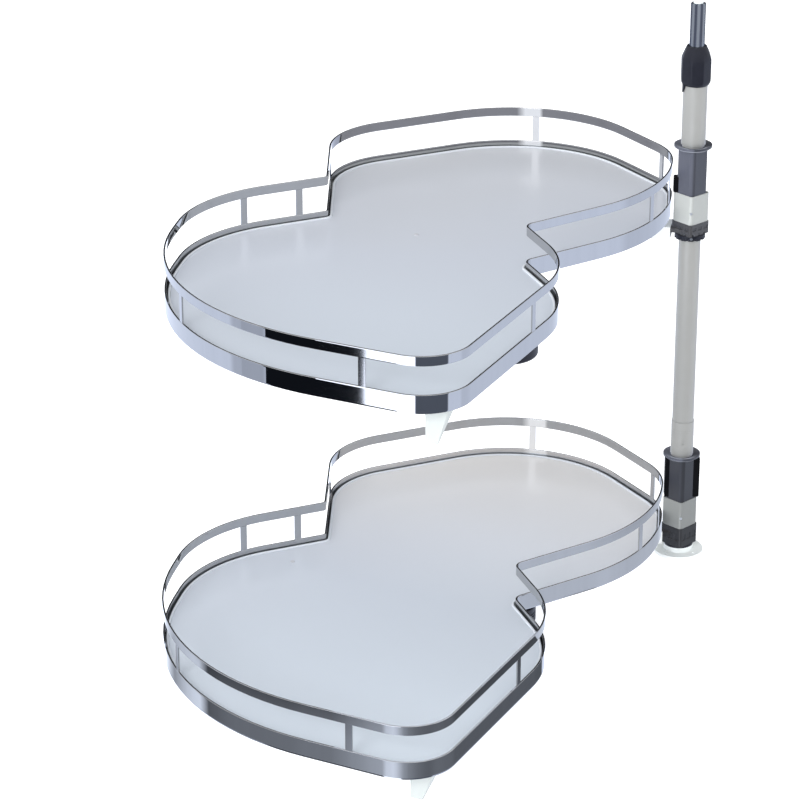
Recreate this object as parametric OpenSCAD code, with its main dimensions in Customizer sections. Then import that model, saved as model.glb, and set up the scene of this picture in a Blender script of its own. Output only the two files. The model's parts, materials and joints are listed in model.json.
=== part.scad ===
// Swing-out corner tray set: two kidney-shaped trays on one telescopic post.
// The origin is on the post's axis at the underside of the floor plate, +Z runs up the post.
// X and Y lie along the cabinet's front and depth: -Y is out of the cabinet's door.
// Heights inside a tier are counted from the top edge of that tier's top rail.

/* [Post] */
// Outer diameter of the post tube
post_d = 25; // [22:0.5:28]
// Wall of the post tube
post_wall = 1.5; // [1:0.25:2]
// Distance between the two tiers
tier_pitch = 380; // [300:5:450]
// Height of the post tube's end above the upper tier's top rail
post_end_rise = 100; // [90:1:140]
// Outer diameter of the extension tube
extension_d = 17; // [15:0.5:19]
// Height of the extension tube's end above the upper tier's top rail
extension_rise = 195; // [180:1:260]
// Length of the extension tube
extension_length = 230; // [180:5:280]
// Number of flutes round the extension tube
flute_count = 8; // [4:1:10]

/* [Floor and top plates] */
// Diameter of the floor plate and of the top plate
plate_d = 58; // [56:1:80]
// Thickness of both plates
plate_t = 4; // [3:0.5:6]
// Diameter of the circle of screw holes
plate_pcd = 47; // [47:0.5:48]
// Diameter of a screw hole
plate_hole_d = 4.5; // [3:0.5:5]
// Number of screw holes
plate_holes = 4; // [3:1:6]
// Height of the neck on the floor plate
floor_neck_h = 6; // [4:1:12]
// Thickness of the washer that the lower hub turns on
thrust_t = 2; // [1:0.5:4]
// Diameter of the neck on the floor plate
floor_neck_d = 34; // [30:1:38]
// Length of the top plate's stud above the extension tube
top_stud_h = 17; // [12:1:25]
// Diameter of the top plate's stud
top_stud_d = 11; // [8:0.5:12]

/* [Tray] */
// Width of the gallery's rail material
rail_t = 2; // [1.5:0.25:3]
// Height of the top rail
top_rail_h = 10.5; // [8:0.5:14]
// Height of the bottom rail
bottom_rail_h = 20; // [16:0.5:26]
// Height of the whole gallery
gallery_h = 61; // [52:1:80]
// Width of a rail post
rail_post_w = 8; // [5:0.5:12]
// Thickness of a rail post
rail_post_t = 1.5; // [1:0.25:2.5]
// Thickness of the board
board_t = 11; // [8:0.5:13]
// Width of the board's edging
edging_w = 2.5; // [1.5:0.25:4]
// Gap between the bottom rail and the edging
edging_gap = 1.7; // [0.5:0.1:3]
// Height of the edging above the board
edging_rise = 1.5; // [0.5:0.25:3]
// Width of the lip that carries the board
lip_w = 10; // [8:0.5:14]
// Thickness of the lip
lip_t = 1.5; // [1:0.25:2]
// Diameter of the small cap in the board
cap_d = 5; // [4:0.5:8]

/* [Carrier] */
// Thickness of the carrier plate under the board
carrier_t = 3; // [2:0.5:4]
// Width of the carrier's beams
carrier_w = 62; // [50:1:80]
// Diameter of the spindle that the tray turns on
spindle_d = 16; // [12:0.5:20]
// Diameter of the spindle's retaining nut
spindle_nut_d = 26; // [22:0.5:34]
// Height of the spindle's retaining nut
spindle_nut_h = 2.8; // [2:0.2:5]
// Diameter of a carrier screw's shank
screw_d = 4; // [3:0.25:5]
// Depth of the carrier screws in the board
screw_depth = 8; // [5:0.5:7.5]
// Drop of the upper tray's front tongue below the gallery
upper_tongue_drop = 39; // [15:1:45]
// Drop of the lower tray's front tongue below the gallery
lower_tongue_drop = 32; // [15:1:32]
// Diameter of the damper housings
damper_d = 68; // [50:1:72]
// Height of the damper housings
damper_h = 22; // [14:1:23]

/* [Arm] */
// Width of the arm's tube
arm_w = 28; // [24:1:34]
// Height of the arm's tube
arm_h = 15; // [13:0.5:16]
// Wall of the arm's tube
arm_wall = 1.5; // [1:0.25:2]
// Diameter of the bearing cup at the arm's end
arm_cup_d = 44; // [40:1:56]
// Thickness of the glide disc between arm and carrier
glide_t = 3; // [2:0.25:3.5]
// Arm angle of the lower tier ahead of the upper tier, degrees
lower_arm_lead = 14; // [0:1:20]
// Turn of the lower tray against its arm, degrees
lower_tray_turn = -15.1; // [-16:0.1:10]

/* [Bracket] */
// Side of the square bracket tube
bracket_side = 30; // [29.5:0.25:31]
// Wall of the bracket tube
bracket_wall = 1.2; // [1:0.1:1.5]
// Outer corner radius of the bracket tube
bracket_r = 4; // [2:0.5:6]
// Depth of the bracket's top edge below the top rail
bracket_top = 26; // [24:0.5:30]
// Height of the bush above the top rail
bush_rise = 31; // [25:0.5:40]
// Diameter of the bush's flange
flange_d = 43; // [38:0.5:46]
// Thickness of the bush's flange
flange_t = 4.5; // [3:0.5:6]
// Radial clearance of the bush on the post
running_gap = 0.05; // [0.02:0.01:0.1]
// Depth of the upper hub below its bracket
upper_hub_h = 14; // [13:0.5:16]
// Depth of the lower hub below its bracket
lower_hub_h = 24; // [20:0.5:24]
// Height of the collar that carries the upper hub
collar_h = 5.5; // [4:0.5:8]

/* [Clamp] */
// Outer diameter of the clamp sleeve
clamp_sleeve_d = 27.5; // [26.5:0.25:30]
// Diameter of the sleeve's neck inside the nut
clamp_neck_d = 26; // [25.5:0.25:28]
// Height of the neck inside the nut
clamp_neck_h = 18; // [12:1:20]
// Width of the clamp nut across its corners
nut_d = 35.5; // [32:0.5:40]
// Height of the clamp nut
nut_h = 45; // [40:1:55]
// Number of flats on the clamp nut
nut_flats = 8; // [6:1:10]
// Height of the spacer sleeve above the lower bush
spacer_h = 30; // [20:1:40]
// Height of the ring above the spacer sleeve
height_ring_h = 11.5; // [8:0.5:15]
// Wall of the spacer sleeve and of the ring
spacer_wall = 0.7; // [0.5:0.1:1.2]

/* [Hidden] */

$fn = 96;
eps = 0.01;                     // lets a cutter pass through a face
arc_step = 6;                   // degrees between the points of an outline's arc
slip_gap = 0.1;                 // clearance between pieces that are pushed together
clear_gap = 0.5;                // clearance between pieces that turn past each other

// The tray's plan: corners with their rounding radius, anticlockwise from the front corner.
// The third and the eighth corner are the two inward notches.
plan = [[-284, -571, 54], [-150, -298, 148], [-194, -180, 11], [-27, -65, 215], [-16, 69, 95],
        [-139, 272, 153], [-411, 146, 97], [-413, -21, 4], [-555, -86, 158], [-618, -410, 293]];
plan_count = len(plan);
// Distances along the rail, from the front corner's arc, of the rail posts' middles
post_stations = [238, 645, 706, 792, 998, 1305, 1446, 1514, 1836, 2097];
// The tray's pivot in the plan; the upper arm is at rest along it
pivot = [-218, 41];
arm_length = norm(pivot);
upper_arm_angle = atan2(pivot[1], pivot[0]);
lower_arm_angle = upper_arm_angle + lower_arm_lead;
upper_tray_angle = 0;
lower_tray_angle = lower_arm_lead + lower_tray_turn;
// Places in the plan of the damper housings, the board caps and the front tongue's edge
upper_damper_at = [-220, -340];
lower_damper_at = [-204, -150];
upper_cap_at = [-312, -80];
lower_cap_at = [-447, -80];
tongue_at = [-282, -535];
tongue_turn = 64;               // direction of the tongue's narrow side in the plan
tongue_w = 26;
tongue_side = 15;
tongue_strap = 60;              // length of the tongue's strap on the carrier
tongue_lean = 11;               // how far the tongue's edge leans sideways over its drop
tongue_tip_w = 13;
tongue_tip_side = 3;
// The carrier's front end, and the two ends of its cross beam
carrier_front = [-300, -490];
carrier_cross = [[-230, -300], [-500, -240]];
carrier_screw_at = [[-218, 88], [-258, 30], [-180, 20], [-232, -60], [-243, -140],
                    [-262, -240], [-285, -390], [-296, -460], [-400, -262], [-495, -241]];

post_r = post_d / 2;
board_bottom = -gallery_h + lip_t;                    // the board lies on the lip
board_top = board_bottom + board_t;
edging_out = rail_t + edging_gap;
rail_post_in = (rail_t - rail_post_t) / 2;            // a rail post stands on the middle of the edge
edging_in = edging_out + edging_w;
carrier_top = board_bottom;
carrier_bottom = carrier_top - carrier_t;
arm_top = carrier_bottom - glide_t;
arm_bottom = arm_top - arm_h;
bracket_bottom = -gallery_h + 1;
bracket_h = -bracket_top - bracket_bottom;
bush_side = bracket_side - 2 * bracket_wall - 2 * slip_gap;
bush_corner = 16.2;                                 // reach of the bush's trimmed corners
bracket_reach = bracket_side / sqrt(2) - bracket_r * (sqrt(2) - 1);
bush_h = bush_rise - bracket_bottom;
flange_taper = [3, 2];                              // the flange's underside tapers in and up
dish_h = 1.8;                                       // depth of the dish in the flange's top
dish_rim = 1.2;
rivet_d = 3;
rivet_drop = 20;                                    // rivet's depth below the bracket's top edge
bore_r = post_r + running_gap;
hub_side = bracket_side + 1;
hub_r = 3;
hub_notches = 12;                                   // notches round the upper hub's underside
hub_notch = [9, 3, 3];
hub_slope_at = 0.4 * hub_side;                      // where its underside starts to slope up
hub_slope_turn = 50;
window_w = 6.4;                                     // windows in each face of a hub
window_pitch = 9;
window_depth = 1.6;
upper_window = [6, 4];                              // height above the hub's foot, own height
lower_window = [8, 8];
tongue_in_arm = arm_w - 2 * arm_wall - 2 * slip_gap;
hub_tongue_h = 5;
hub_tongue_reach = 46;
arm_screw_at = [30, 40];
cup_lug = 16;                                       // the cup's lug inside the arm's tube
arm_start = 21.5;                                   // where the arm's tube begins, from the post
collar_d = 35;
grub_d = 3.5;
collar_grooves = 12;                                // grip grooves round the collar
groove_r = 1.6;
lug_wrap = 2.3;                                     // how far a stop lug wraps round its corner
lug_round = 1.4;
upper_lug = [-25.5, -7.5, 20.8, 9];                 // foot, top, reach and width of the stop lugs
lower_lugs = [[180, [-24, 26, 19.2, 11]], [0, [-24, 26, 21.4, 11]]];
floor_peg_h = 30;
neck_top = plate_t + floor_neck_h;
lower_tier_z = neck_top + thrust_t + lower_hub_h - bracket_bottom;
upper_tier_z = lower_tier_z + tier_pitch;
post_top = upper_tier_z + post_end_rise;
collet_seat = post_top + 1;
nut_bottom = collet_seat + clear_gap;
extension_top = upper_tier_z + extension_rise;
extension_r = extension_d / 2;
guide_h = 20;

// ---------- outlines ----------

function unit(v) = v / norm(v);
function left_of(v) = [-v[1], v[0]];
function cross2(a, b) = a[0] * b[1] - a[1] * b[0];
function turned(v, a) = [v[0] * cos(a) - v[1] * sin(a), v[0] * sin(a) + v[1] * cos(a)];
function corner(i) = let (c = plan[(i + plan_count) % plan_count]) [c[0], c[1]];
// A corner moved inwards by d, where its two sides moved by d meet
function inner_corner(i, d) =
    let (m = left_of(unit(corner(i) - corner(i - 1))), n = left_of(unit(corner(i + 1) - corner(i))))
    corner(i) + d * (m + n) / (1 + m * n);
function is_notch(i) = cross2(corner(i) - corner(i - 1), corner(i + 1) - corner(i)) < 0;
// The arc that rounds corner b between a and c with radius r
function corner_arc(a, b, c, r) =
    let (u = unit(a - b), w = unit(c - b), half = acos(u * w) / 2,
         centre = b + unit(u + w) * r / sin(half), start = b + u * r / tan(half) - centre,
         sweep = sign(cross2(b - a, c - b)) * (180 - 2 * half),
         n = max(1, ceil(abs(sweep) / arc_step)))
    [for (k = [0:n]) centre + turned(start, sweep * k / n)];
// The tray's plan moved inwards by d
function outline(d) = [for (i = [0:plan_count - 1])
    each corner_arc(inner_corner(i - 1, d), inner_corner(i, d), inner_corner(i + 1, d),
                    plan[i][2] + (is_notch(i) ? d : -d))];
// Running length of a closed path at each of its points
function stations(path) = [for (i = 0, s = 0; i < len(path);
    s = s + norm(path[(i + 1) % len(path)] - path[i]), i = i + 1) s];
// Place and direction on the path at a running length s
function place_on(path, marks, s) =
    let (i = max([for (k = [0:len(path) - 1]) if (marks[k] <= s) k]),
         step = path[(i + 1) % len(path)] - path[i])
    [path[i] + unit(step) * (s - marks[i]), atan2(step[1], step[0])];

// A band that follows the plan, from d_out to d_in inside it and from z0 to z1
module band(d_out, d_in, z0, z1) {
    translate([0, 0, z0]) difference() {
        linear_extrude(z1 - z0) polygon(outline(d_out));
        translate([0, 0, -1]) linear_extrude(z1 - z0 + 2) polygon(outline(d_in));
    }
}

// A square with rounded corners, standing on one corner
module rounded_diamond(side, r, h) {
    rotate([0, 0, 45]) linear_extrude(h) union() {
        square([side - 2 * r, side], center = true);
        square([side, side - 2 * r], center = true);
        for (x = [-1, 1], y = [-1, 1])
            translate([x * (side / 2 - r), y * (side / 2 - r)]) circle(r);
    }
}

// ---------- placing the two tiers ----------

module upper_arm_frame() {
    translate([0, 0, upper_tier_z]) rotate([0, 0, upper_arm_angle]) children();
}

module lower_arm_frame() {
    translate([0, 0, lower_tier_z]) rotate([0, 0, lower_arm_angle]) children();
}

module tray_frame(z, arm_angle, tray_angle) {
    translate([arm_length * cos(arm_angle), arm_length * sin(arm_angle), z])
        rotate([0, 0, tray_angle]) translate([-pivot[0], -pivot[1], 0]) children();
}

module upper_tray_frame() {
    tray_frame(upper_tier_z, upper_arm_angle, upper_tray_angle) children();
}

module lower_tray_frame() {
    tray_frame(lower_tier_z, lower_arm_angle, lower_tray_angle) children();
}

// ---------- post ----------

module plate_disc() {
    difference() {
        cylinder(h = plate_t, d = plate_d);
        for (k = [0:plate_holes - 1])
            rotate([0, 0, 45 + 360 * k / plate_holes]) translate([plate_pcd / 2, 0, -1])
                cylinder(h = plate_t + 2, d = plate_hole_d);
    }
}

module floor_plate() {
    color("gainsboro") union() {
        plate_disc();
        cylinder(h = neck_top, d = floor_neck_d);
        translate([0, 0, neck_top - eps])
            cylinder(h = floor_peg_h + eps, r = post_r - post_wall - slip_gap);
    }
}

module thrust_washer() {
    color("dimgray") translate([0, 0, neck_top]) difference() {
        cylinder(h = thrust_t, d = floor_neck_d);
        translate([0, 0, -1]) cylinder(h = thrust_t + 2, r = post_r + slip_gap);
    }
}

module post_tube() {
    color("lightgray") translate([0, 0, neck_top]) difference() {
        cylinder(h = post_top - neck_top, r = post_r);
        translate([0, 0, -1]) cylinder(h = post_top - neck_top + 2, r = post_r - post_wall);
    }
}

// A thin sleeve round the post, seated on it
module post_sleeve(z0, h, wall) {
    translate([0, 0, z0]) difference() {
        cylinder(h = h, r = post_r + wall);
        translate([0, 0, -1]) cylinder(h = h + 2, r = post_r);
    }
}

module spacer_sleeve() {
    slot_w = 2;
    slot_h = 6;
    color("silver") difference() {
        post_sleeve(lower_tier_z + bush_rise + clear_gap, spacer_h, spacer_wall);
        translate([-slot_w / 2, -post_r - spacer_wall - 1, lower_tier_z + bush_rise + spacer_h / 2])
            cube([slot_w, 2, slot_h]);
    }
}

module height_ring() {
    color("darkgray")
        post_sleeve(lower_tier_z + bush_rise + clear_gap + spacer_h, height_ring_h, spacer_wall);
}

module upper_collar() {
    top = upper_tier_z + bracket_bottom - upper_hub_h - clear_gap;
    color("dimgray") translate([0, 0, top - collar_h]) difference() {
        cylinder(h = collar_h, d = collar_d);
        translate([0, 0, -1]) cylinder(h = collar_h + 2, r = post_r);
        translate([0, 0, collar_h / 2]) rotate([90, 0, 0])
            cylinder(h = collar_d, d = grub_d);
        for (k = [0:collar_grooves - 1]) rotate([0, 0, 360 * (k + 0.5) / collar_grooves])
            translate([collar_d / 2, 0, -1]) cylinder(h = collar_h / 2 + 1, r = groove_r);
    }
}

module upper_collar_screw() {
    top = upper_tier_z + bracket_bottom - upper_hub_h - clear_gap;
    color("gray") translate([0, -post_r, top - collar_h / 2]) rotate([90, 0, 0])
        cylinder(h = collar_d / 2 - post_r - 1, d = grub_d);
}

module clamp_sleeve() {
    z0 = upper_tier_z + bush_rise + clear_gap;
    color("silver") difference() {
        union() {
            translate([0, 0, z0]) cylinder(h = collet_seat - z0, d = clamp_sleeve_d);
            translate([0, 0, collet_seat - eps])
                cylinder(h = clamp_neck_h + eps, d = clamp_neck_d);
        }
        translate([0, 0, z0 - 1]) cylinder(h = post_top - z0 + 1, r = post_r);
        translate([0, 0, post_top - 1])
            cylinder(h = collet_seat + clamp_neck_h - post_top + 2, r = post_r - post_wall - 1);
    }
}

// The split collet: a skirt inside the neck and a cone that the nut presses inwards
module clamp_collet() {
    skirt_r = post_r - post_wall - 1 - slip_gap;
    cone_z = collet_seat + clamp_neck_h;
    color("dimgray") difference() {
        union() {
            translate([0, 0, cone_z - 12]) cylinder(h = 12 + eps, r = skirt_r);
            translate([0, 0, cone_z])
                cylinder(h = 14, r1 = clamp_neck_d / 2 - 0.5, r2 = skirt_r);
        }
        translate([0, 0, cone_z - 13]) cylinder(h = 30, r = extension_r + running_gap);
        for (a = [45, 135])
            rotate([0, 0, a]) translate([-20, -0.6, cone_z - 4]) cube([40, 1.2, 20]);
    }
}

module clamp_nut() {
    neck_r = clamp_neck_d / 2 + running_gap;
    cone_z = collet_seat + clamp_neck_h;
    tab_w = 4.5;
    color("black") difference() {
        union() {
            intersection() {
                translate([0, 0, nut_bottom]) rotate([0, 0, 22.5])
                    cylinder(h = nut_h, d = nut_d, $fn = nut_flats);
                union() {
                    translate([0, 0, nut_bottom])
                        cylinder(h = 5 + eps, r1 = nut_d / 2 - 3, r2 = nut_d / 2);
                    translate([0, 0, nut_bottom + 5]) cylinder(h = nut_h - 20, d = nut_d);
                    translate([0, 0, nut_bottom + nut_h - 15 - eps])
                        cylinder(h = 15 + eps, r1 = nut_d / 2, r2 = extension_r + 2);
                }
            }
            // the pointed tab that hangs from the nut's rim
            rotate([0, 0, 205]) translate([clamp_sleeve_d / 2 + 0.3, -tab_w / 2, nut_bottom - 8])
                difference() {
                    cube([1.8, tab_w, 10]);
                    translate([-1, 0, 0]) rotate([-14, 0, 0])
                        translate([0, -tab_w, -1]) cube([5, tab_w, 9]);
                }
        }
        translate([0, 0, nut_bottom - 1]) cylinder(h = cone_z + 0.3 - nut_bottom + 1, r = neck_r);
        translate([0, 0, cone_z - eps])
            cylinder(h = 14.4, r1 = neck_r, r2 = post_r - post_wall - 0.8);
        translate([0, 0, cone_z]) cylinder(h = nut_h, r = extension_r + clear_gap);
    }
}

// ---------- extension ----------

module extension_tube() {
    color("silver") translate([0, 0, extension_top - extension_length]) difference() {
        cylinder(h = extension_length, d = extension_d);
        translate([0, 0, -1]) cylinder(h = extension_length + 2, d = top_stud_d);
        for (k = [0:flute_count - 1]) rotate([0, 0, 360 * (k + 0.5) / flute_count])
            translate([extension_r + 0.6, 0, guide_h + 4]) cylinder(h = extension_length, r = 1.6);
    }
}

module extension_guide() {
    color("dimgray") translate([0, 0, extension_top - extension_length]) difference() {
        cylinder(h = guide_h, r = post_r - post_wall - running_gap);
        translate([0, 0, -1]) cylinder(h = guide_h + 2, r = extension_r);
    }
}

module top_plate() {
    plug_h = 25;
    color("gainsboro") union() {
        translate([0, 0, extension_top + top_stud_h]) plate_disc();
        translate([0, 0, extension_top - plug_h])
            cylinder(h = plug_h + top_stud_h + plate_t, d = top_stud_d);
    }
}

// ---------- arm: pieces of one tier, with the arm along +X ----------

module bracket(face) {
    difference() {
        translate([0, 0, bracket_bottom]) rotate([0, 0, face])
            rounded_diamond(bracket_side, bracket_r, bracket_h);
        translate([0, 0, bracket_bottom - 1]) rotate([0, 0, face])
            rounded_diamond(bracket_side - 2 * bracket_wall, bracket_r - bracket_wall,
                            bracket_h + 2);
        rotate([0, 0, face - 90]) translate([0, 0, -bracket_top - rivet_drop])
            rotate([0, 90, 0]) cylinder(h = bracket_side, d = rivet_d);
    }
}

module bracket_rivet(face) {
    rotate([0, 0, face - 90]) translate([bush_corner, 0, -bracket_top - rivet_drop])
        rotate([0, 90, 0]) cylinder(h = bracket_reach + 0.3 - bush_corner, d = rivet_d);
}

// The bush's body: a square on its corner, grown by d, with four trimmed corners
module bush_body(d) {
    translate([0, 0, bracket_bottom]) intersection() {
        rounded_diamond(bush_side + 2 * d, 1, bush_h - flange_t + eps);
        translate([-bush_corner, -bush_corner, 0]) cube([2 * bush_corner, 2 * bush_corner, bush_h]);
    }
}

// The plastic bush: its body with a dished flange on top
module bush(face) {
    flange_z = bush_rise - flange_t;
    difference() {
        union() {
            rotate([0, 0, face]) bush_body(0);
            translate([0, 0, flange_z])
                cylinder(h = flange_taper[1], r1 = flange_d / 2 - flange_taper[0], r2 = flange_d / 2);
            translate([0, 0, flange_z + flange_taper[1]])
                cylinder(h = flange_t - flange_taper[1], d = flange_d);
        }
        translate([0, 0, bracket_bottom - 1]) cylinder(h = bush_h + 2, r = bore_r);
        translate([0, 0, bush_rise - dish_h])
            cylinder(h = dish_h + eps, r1 = post_r + 2, r2 = flange_d / 2 - dish_rim);
    }
}

// A stop lug wrapped round the bush's corner at angle a: a plate with rounded outer corners
module stop_lug(a, lug) {
    start = bush_corner - lug_wrap;
    low = lug[0];
    high = lug[1];
    out = lug[2] - start;
    rotate([0, 0, a]) difference() {
        translate([start, 0, 0]) rotate([90, 0, 0]) translate([0, 0, -lug[3] / 2])
            linear_extrude(lug[3]) union() {
                translate([0, low]) square([out - lug_round, high - low]);
                translate([0, low + lug_round]) square([out, high - low - 2 * lug_round]);
                for (z = [low + lug_round, high - lug_round])
                    translate([out - lug_round, z]) circle(lug_round);
            }
        bush_body(slip_gap);
    }
}

// The dark casting under the bracket, with windows in its four faces and a tongue for the arm
module hub(face, h, window) {
    top = bracket_bottom;
    difference() {
        union() {
            translate([0, 0, top - h]) rotate([0, 0, face]) rounded_diamond(hub_side, hub_r, h);
            translate([0, -tongue_in_arm / 2, arm_top - arm_wall - hub_tongue_h])
                cube([hub_tongue_reach, tongue_in_arm, hub_tongue_h]);
        }
        translate([0, 0, top - h - 1]) cylinder(h = h + 2, r = bore_r);
        for (q = [0:3], k = [-1:1]) rotate([0, 0, face + 45 + 90 * q])
            translate([hub_side / 2 - window_depth, k * window_pitch - window_w / 2,
                       top - h + window[0]])
                cube([2 * window_depth, window_w, window[1]]);
        for (x = arm_screw_at) translate([x, 0, arm_bottom - 1])
            cylinder(h = 2 * arm_h, d = screw_d);
    }
}

module arm_tube() {
    difference() {
        translate([arm_start, -arm_w / 2, arm_bottom])
            cube([arm_length - arm_start, arm_w, arm_h]);
        translate([arm_start - 1, -arm_w / 2 + arm_wall, arm_bottom + arm_wall])
            cube([arm_length, arm_w - 2 * arm_wall, arm_h - 2 * arm_wall]);
        translate([arm_length, 0, arm_bottom - 1]) cylinder(h = arm_h + 2, d = arm_cup_d);
        for (x = arm_screw_at) translate([x, 0, arm_top - arm_wall - 1])
            cylinder(h = arm_wall + 2, d = screw_d);
    }
}

module arm_cup() {
    lug_x = arm_length - arm_cup_d / 2 - cup_lug;
    difference() {
        union() {
            translate([arm_length, 0, arm_bottom]) cylinder(h = arm_h, d = arm_cup_d);
            translate([lug_x, -tongue_in_arm / 2, arm_bottom + arm_wall + slip_gap])
                cube([arm_cup_d / 2 + cup_lug, tongue_in_arm, arm_h - 2 * arm_wall - 2 * slip_gap]);
        }
        translate([arm_length, 0, arm_bottom - 1])
            cylinder(h = arm_h + 2, r = spindle_d / 2 + running_gap);
    }
}

module arm_screws() {
    for (x = arm_screw_at) translate([x, 0, arm_top - arm_wall - hub_tongue_h])
        cylinder(h = hub_tongue_h + arm_wall, d = screw_d);
}

module glide_disc() {
    translate([arm_length, 0, arm_top]) difference() {
        cylinder(h = glide_t, d = arm_cup_d);
        translate([0, 0, -1]) cylinder(h = glide_t + 2, r = spindle_d / 2 + running_gap);
    }
}

// The bracket's face angle that points its corner at the cabinet's front, in the arm's frame
upper_face = -4 - upper_arm_angle;
lower_face = -lower_arm_angle;

module upper_bracket() { color("beige") upper_arm_frame() bracket(upper_face); }
module lower_bracket() { color("beige") lower_arm_frame() bracket(lower_face); }
module upper_bracket_rivet() { color("silver") upper_arm_frame() bracket_rivet(upper_face); }
module lower_bracket_rivet() { color("silver") lower_arm_frame() bracket_rivet(lower_face); }
module upper_bush() { color("slategray") upper_arm_frame() bush(upper_face); }
module lower_bush() { color("slategray") lower_arm_frame() bush(lower_face); }

module upper_stop_lug() {
    color("black") upper_arm_frame() stop_lug(upper_face + 180, upper_lug);
}

module lower_stop_lugs() {
    color("black") lower_arm_frame() for (l = lower_lugs) stop_lug(lower_face + l[0], l[1]);
}

// The upper hub's underside is notched and slopes up on one side
module upper_hub() {
    color("dimgray") upper_arm_frame() difference() {
        hub(upper_face, upper_hub_h, upper_window);
        for (k = [0:hub_notches - 1])
            rotate([0, 0, upper_face + 360 * k / hub_notches + 10])
                translate([hub_side / 2 - 1, -hub_notch[1] / 2, bracket_bottom - upper_hub_h - 1])
                    cube(hub_notch + [0, 0, 1]);
        rotate([0, 0, upper_face]) translate([hub_slope_at, 0, bracket_bottom - upper_hub_h - 1])
            rotate([0, hub_slope_turn, 0]) translate([0, -hub_slope_at, -upper_hub_h])
                cube([hub_slope_at / 2, 2 * hub_slope_at, upper_hub_h]);
    }
}

module lower_hub() {
    color("dimgray") lower_arm_frame() hub(lower_face, lower_hub_h, lower_window);
}

module upper_arm_tube() { color("beige") upper_arm_frame() arm_tube(); }
module lower_arm_tube() { color("beige") lower_arm_frame() arm_tube(); }
module upper_arm_cup() { color("dimgray") upper_arm_frame() arm_cup(); }
module lower_arm_cup() { color("dimgray") lower_arm_frame() arm_cup(); }
module upper_glide_disc() { color("white") upper_arm_frame() glide_disc(); }
module lower_glide_disc() { color("white") lower_arm_frame() glide_disc(); }
module upper_arm_screws() { color("silver") upper_arm_frame() arm_screws(); }
module lower_arm_screws() { color("silver") lower_arm_frame() arm_screws(); }

// ---------- tray: pieces of one tier, in the plan's own frame ----------

module top_rail() {
    band(0, rail_t, -top_rail_h, 0);
}

module bottom_rail() {
    union() {
        band(0, rail_t, -gallery_h, -gallery_h + bottom_rail_h);
        band(rail_t - eps, lip_w, -gallery_h, board_bottom);
    }
}

// Posts welded between the edges of the two rails
module rail_posts() {
    path = outline(0);
    marks = stations(path);
    intersection() {
        band(rail_post_in, rail_post_in + rail_post_t, -gallery_h + bottom_rail_h, -top_rail_h);
        union() for (s = post_stations) {
            spot = place_on(path, marks, s);
            translate([spot[0][0], spot[0][1], board_bottom]) rotate([0, 0, spot[1]])
                translate([-rail_post_w / 2, -rail_t, 0])
                    cube([rail_post_w, 3 * rail_t, gallery_h]);
        }
    }
}

module carrier_screw_holes() {
    for (p = carrier_screw_at) translate([p[0], p[1], 0]) children();
}

// The cone of a screw's sunk head
module countersink() {
    translate([0, 0, carrier_bottom]) cylinder(h = screw_d / 2, d1 = 2 * screw_d, d2 = screw_d);
}

module board(cap_at) {
    difference() {
        translate([0, 0, board_bottom])
            linear_extrude(board_top - board_bottom) polygon(outline(edging_in));
        carrier_screw_holes() translate([0, 0, board_bottom - 1])
            cylinder(h = screw_depth + 1, d = screw_d);
        translate([cap_at[0], cap_at[1], board_top - 3]) cylinder(h = 4, d = cap_d - 2);
    }
}

module board_cap(cap_at) {
    translate([cap_at[0], cap_at[1], board_top]) union() {
        cylinder(h = 0.8, d = cap_d);
        translate([0, 0, -3]) cylinder(h = 3 + eps, d = cap_d - 2);
    }
}

module board_edging() {
    band(edging_out, edging_in, board_bottom, board_top + edging_rise);
}

module carrier() {
    difference() {
        translate([0, 0, carrier_bottom]) linear_extrude(carrier_t) union() {
            translate(pivot) circle(d = 1.9 * carrier_w);
            carrier_beam(pivot, carrier_front);
            carrier_beam(carrier_cross[0], carrier_cross[1]);
            for (p = [carrier_front, carrier_cross[0], carrier_cross[1]])
                translate(p) circle(d = carrier_w);
        }
        carrier_screw_holes() translate([0, 0, carrier_bottom - 1])
            cylinder(h = carrier_t + 2, d = screw_d);
        carrier_screw_holes() countersink();
        carrier_screw_holes() translate([0, 0, carrier_bottom - 1]) cylinder(h = 1, d = 2 * screw_d);
    }
}

// A straight beam of the carrier's width between two points of the plan
module carrier_beam(a, b) {
    run = b - a;
    translate(a) rotate([0, 0, atan2(run[1], run[0])]) translate([0, -carrier_w / 2])
        square([norm(run), carrier_w]);
}

module carrier_screws() {
    carrier_screw_holes() union() {
        translate([0, 0, carrier_bottom]) cylinder(h = carrier_t + screw_depth, d = screw_d);
        countersink();
    }
}

// The front tongue: it hangs from the carrier's end and tapers to its tip
module front_tongue(drop) {
    tip_z = -gallery_h - drop;
    root_t = 3;
    strap_t = 2;
    strap_w = tongue_w - 6;
    hull() {
        translate([tongue_at[0], tongue_at[1], carrier_bottom - root_t])
            rotate([0, 0, tongue_turn]) cube([tongue_side, tongue_w, root_t]);
        translate([tongue_at[0] - tongue_lean, tongue_at[1] - 3, tip_z])
            rotate([0, 0, tongue_turn]) cube([tongue_tip_side, tongue_tip_w, 1]);
    }
    translate([tongue_at[0], tongue_at[1], carrier_bottom - strap_t])
        rotate([0, 0, tongue_turn]) translate([2, (tongue_w - strap_w) / 2, 0])
            cube([tongue_strap, strap_w, strap_t]);
}

module spindle() {
    translate([pivot[0], pivot[1], arm_bottom - spindle_nut_h])
        cylinder(h = arm_h + glide_t + spindle_nut_h, d = spindle_d);
}

module spindle_nut() {
    translate([pivot[0], pivot[1], arm_bottom - spindle_nut_h]) difference() {
        cylinder(h = spindle_nut_h - 0.2, d = spindle_nut_d);
        translate([0, 0, -1]) cylinder(h = spindle_nut_h + 2, d = spindle_d);
    }
}

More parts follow.
